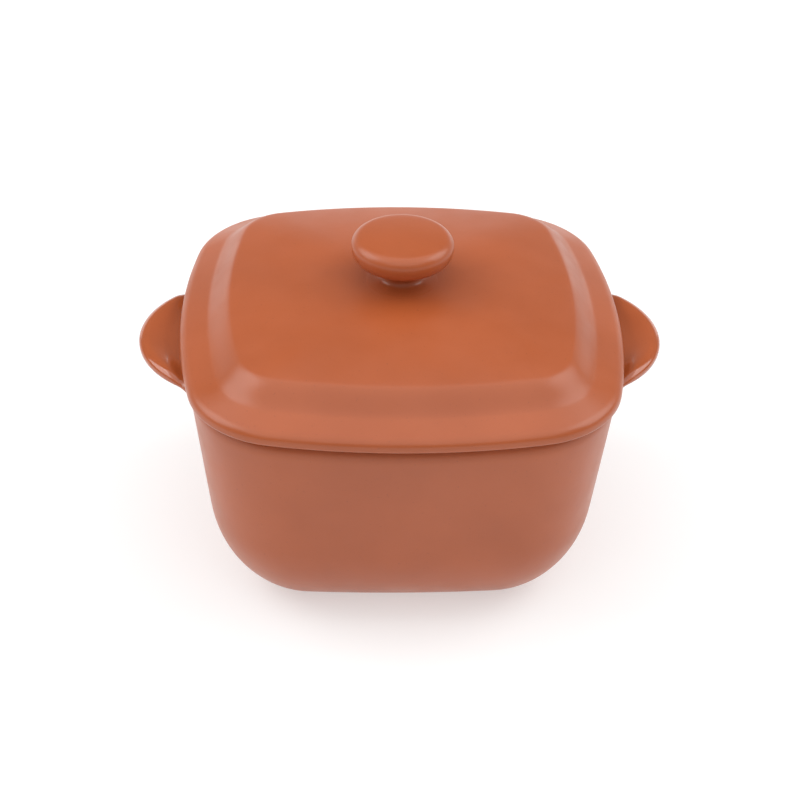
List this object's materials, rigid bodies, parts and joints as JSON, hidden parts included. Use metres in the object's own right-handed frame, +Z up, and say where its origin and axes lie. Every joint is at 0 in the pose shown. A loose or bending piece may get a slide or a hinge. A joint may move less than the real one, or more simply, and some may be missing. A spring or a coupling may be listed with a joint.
{
  "type": "covered casserole dish",
  "caption": "Square stoneware casserole dish with rounded corners, a lug handle on each side, and a lift-off lid with a mushroom knob.",
  "frame": {"origin": "centre of the foot ring's face, on the surface that the dish stands on", "axes": "+Z up, +X through the right handle, -Y towards the front"},
  "size_m": [0.238, 0.2, 0.1556],
  "materials": {
    "satin_glaze": "terracotta glaze, satin",
    "gloss_glaze": "terracotta glaze, gloss"
  },
  "bodies": {
    "pot": {"pot_body": "satin_glaze", "handle_left": "gloss_glaze", "handle_right": "gloss_glaze"},
    "lid": {"lid_shell": "satin_glaze", "lid_knob": "satin_glaze"}
  },
  "joints": [
    {"name": "lid_lift", "type": "slide", "parent": "pot", "child": "lid", "axis": [0, 0, 1], "range_m": [0, 0.12]}
  ]
}
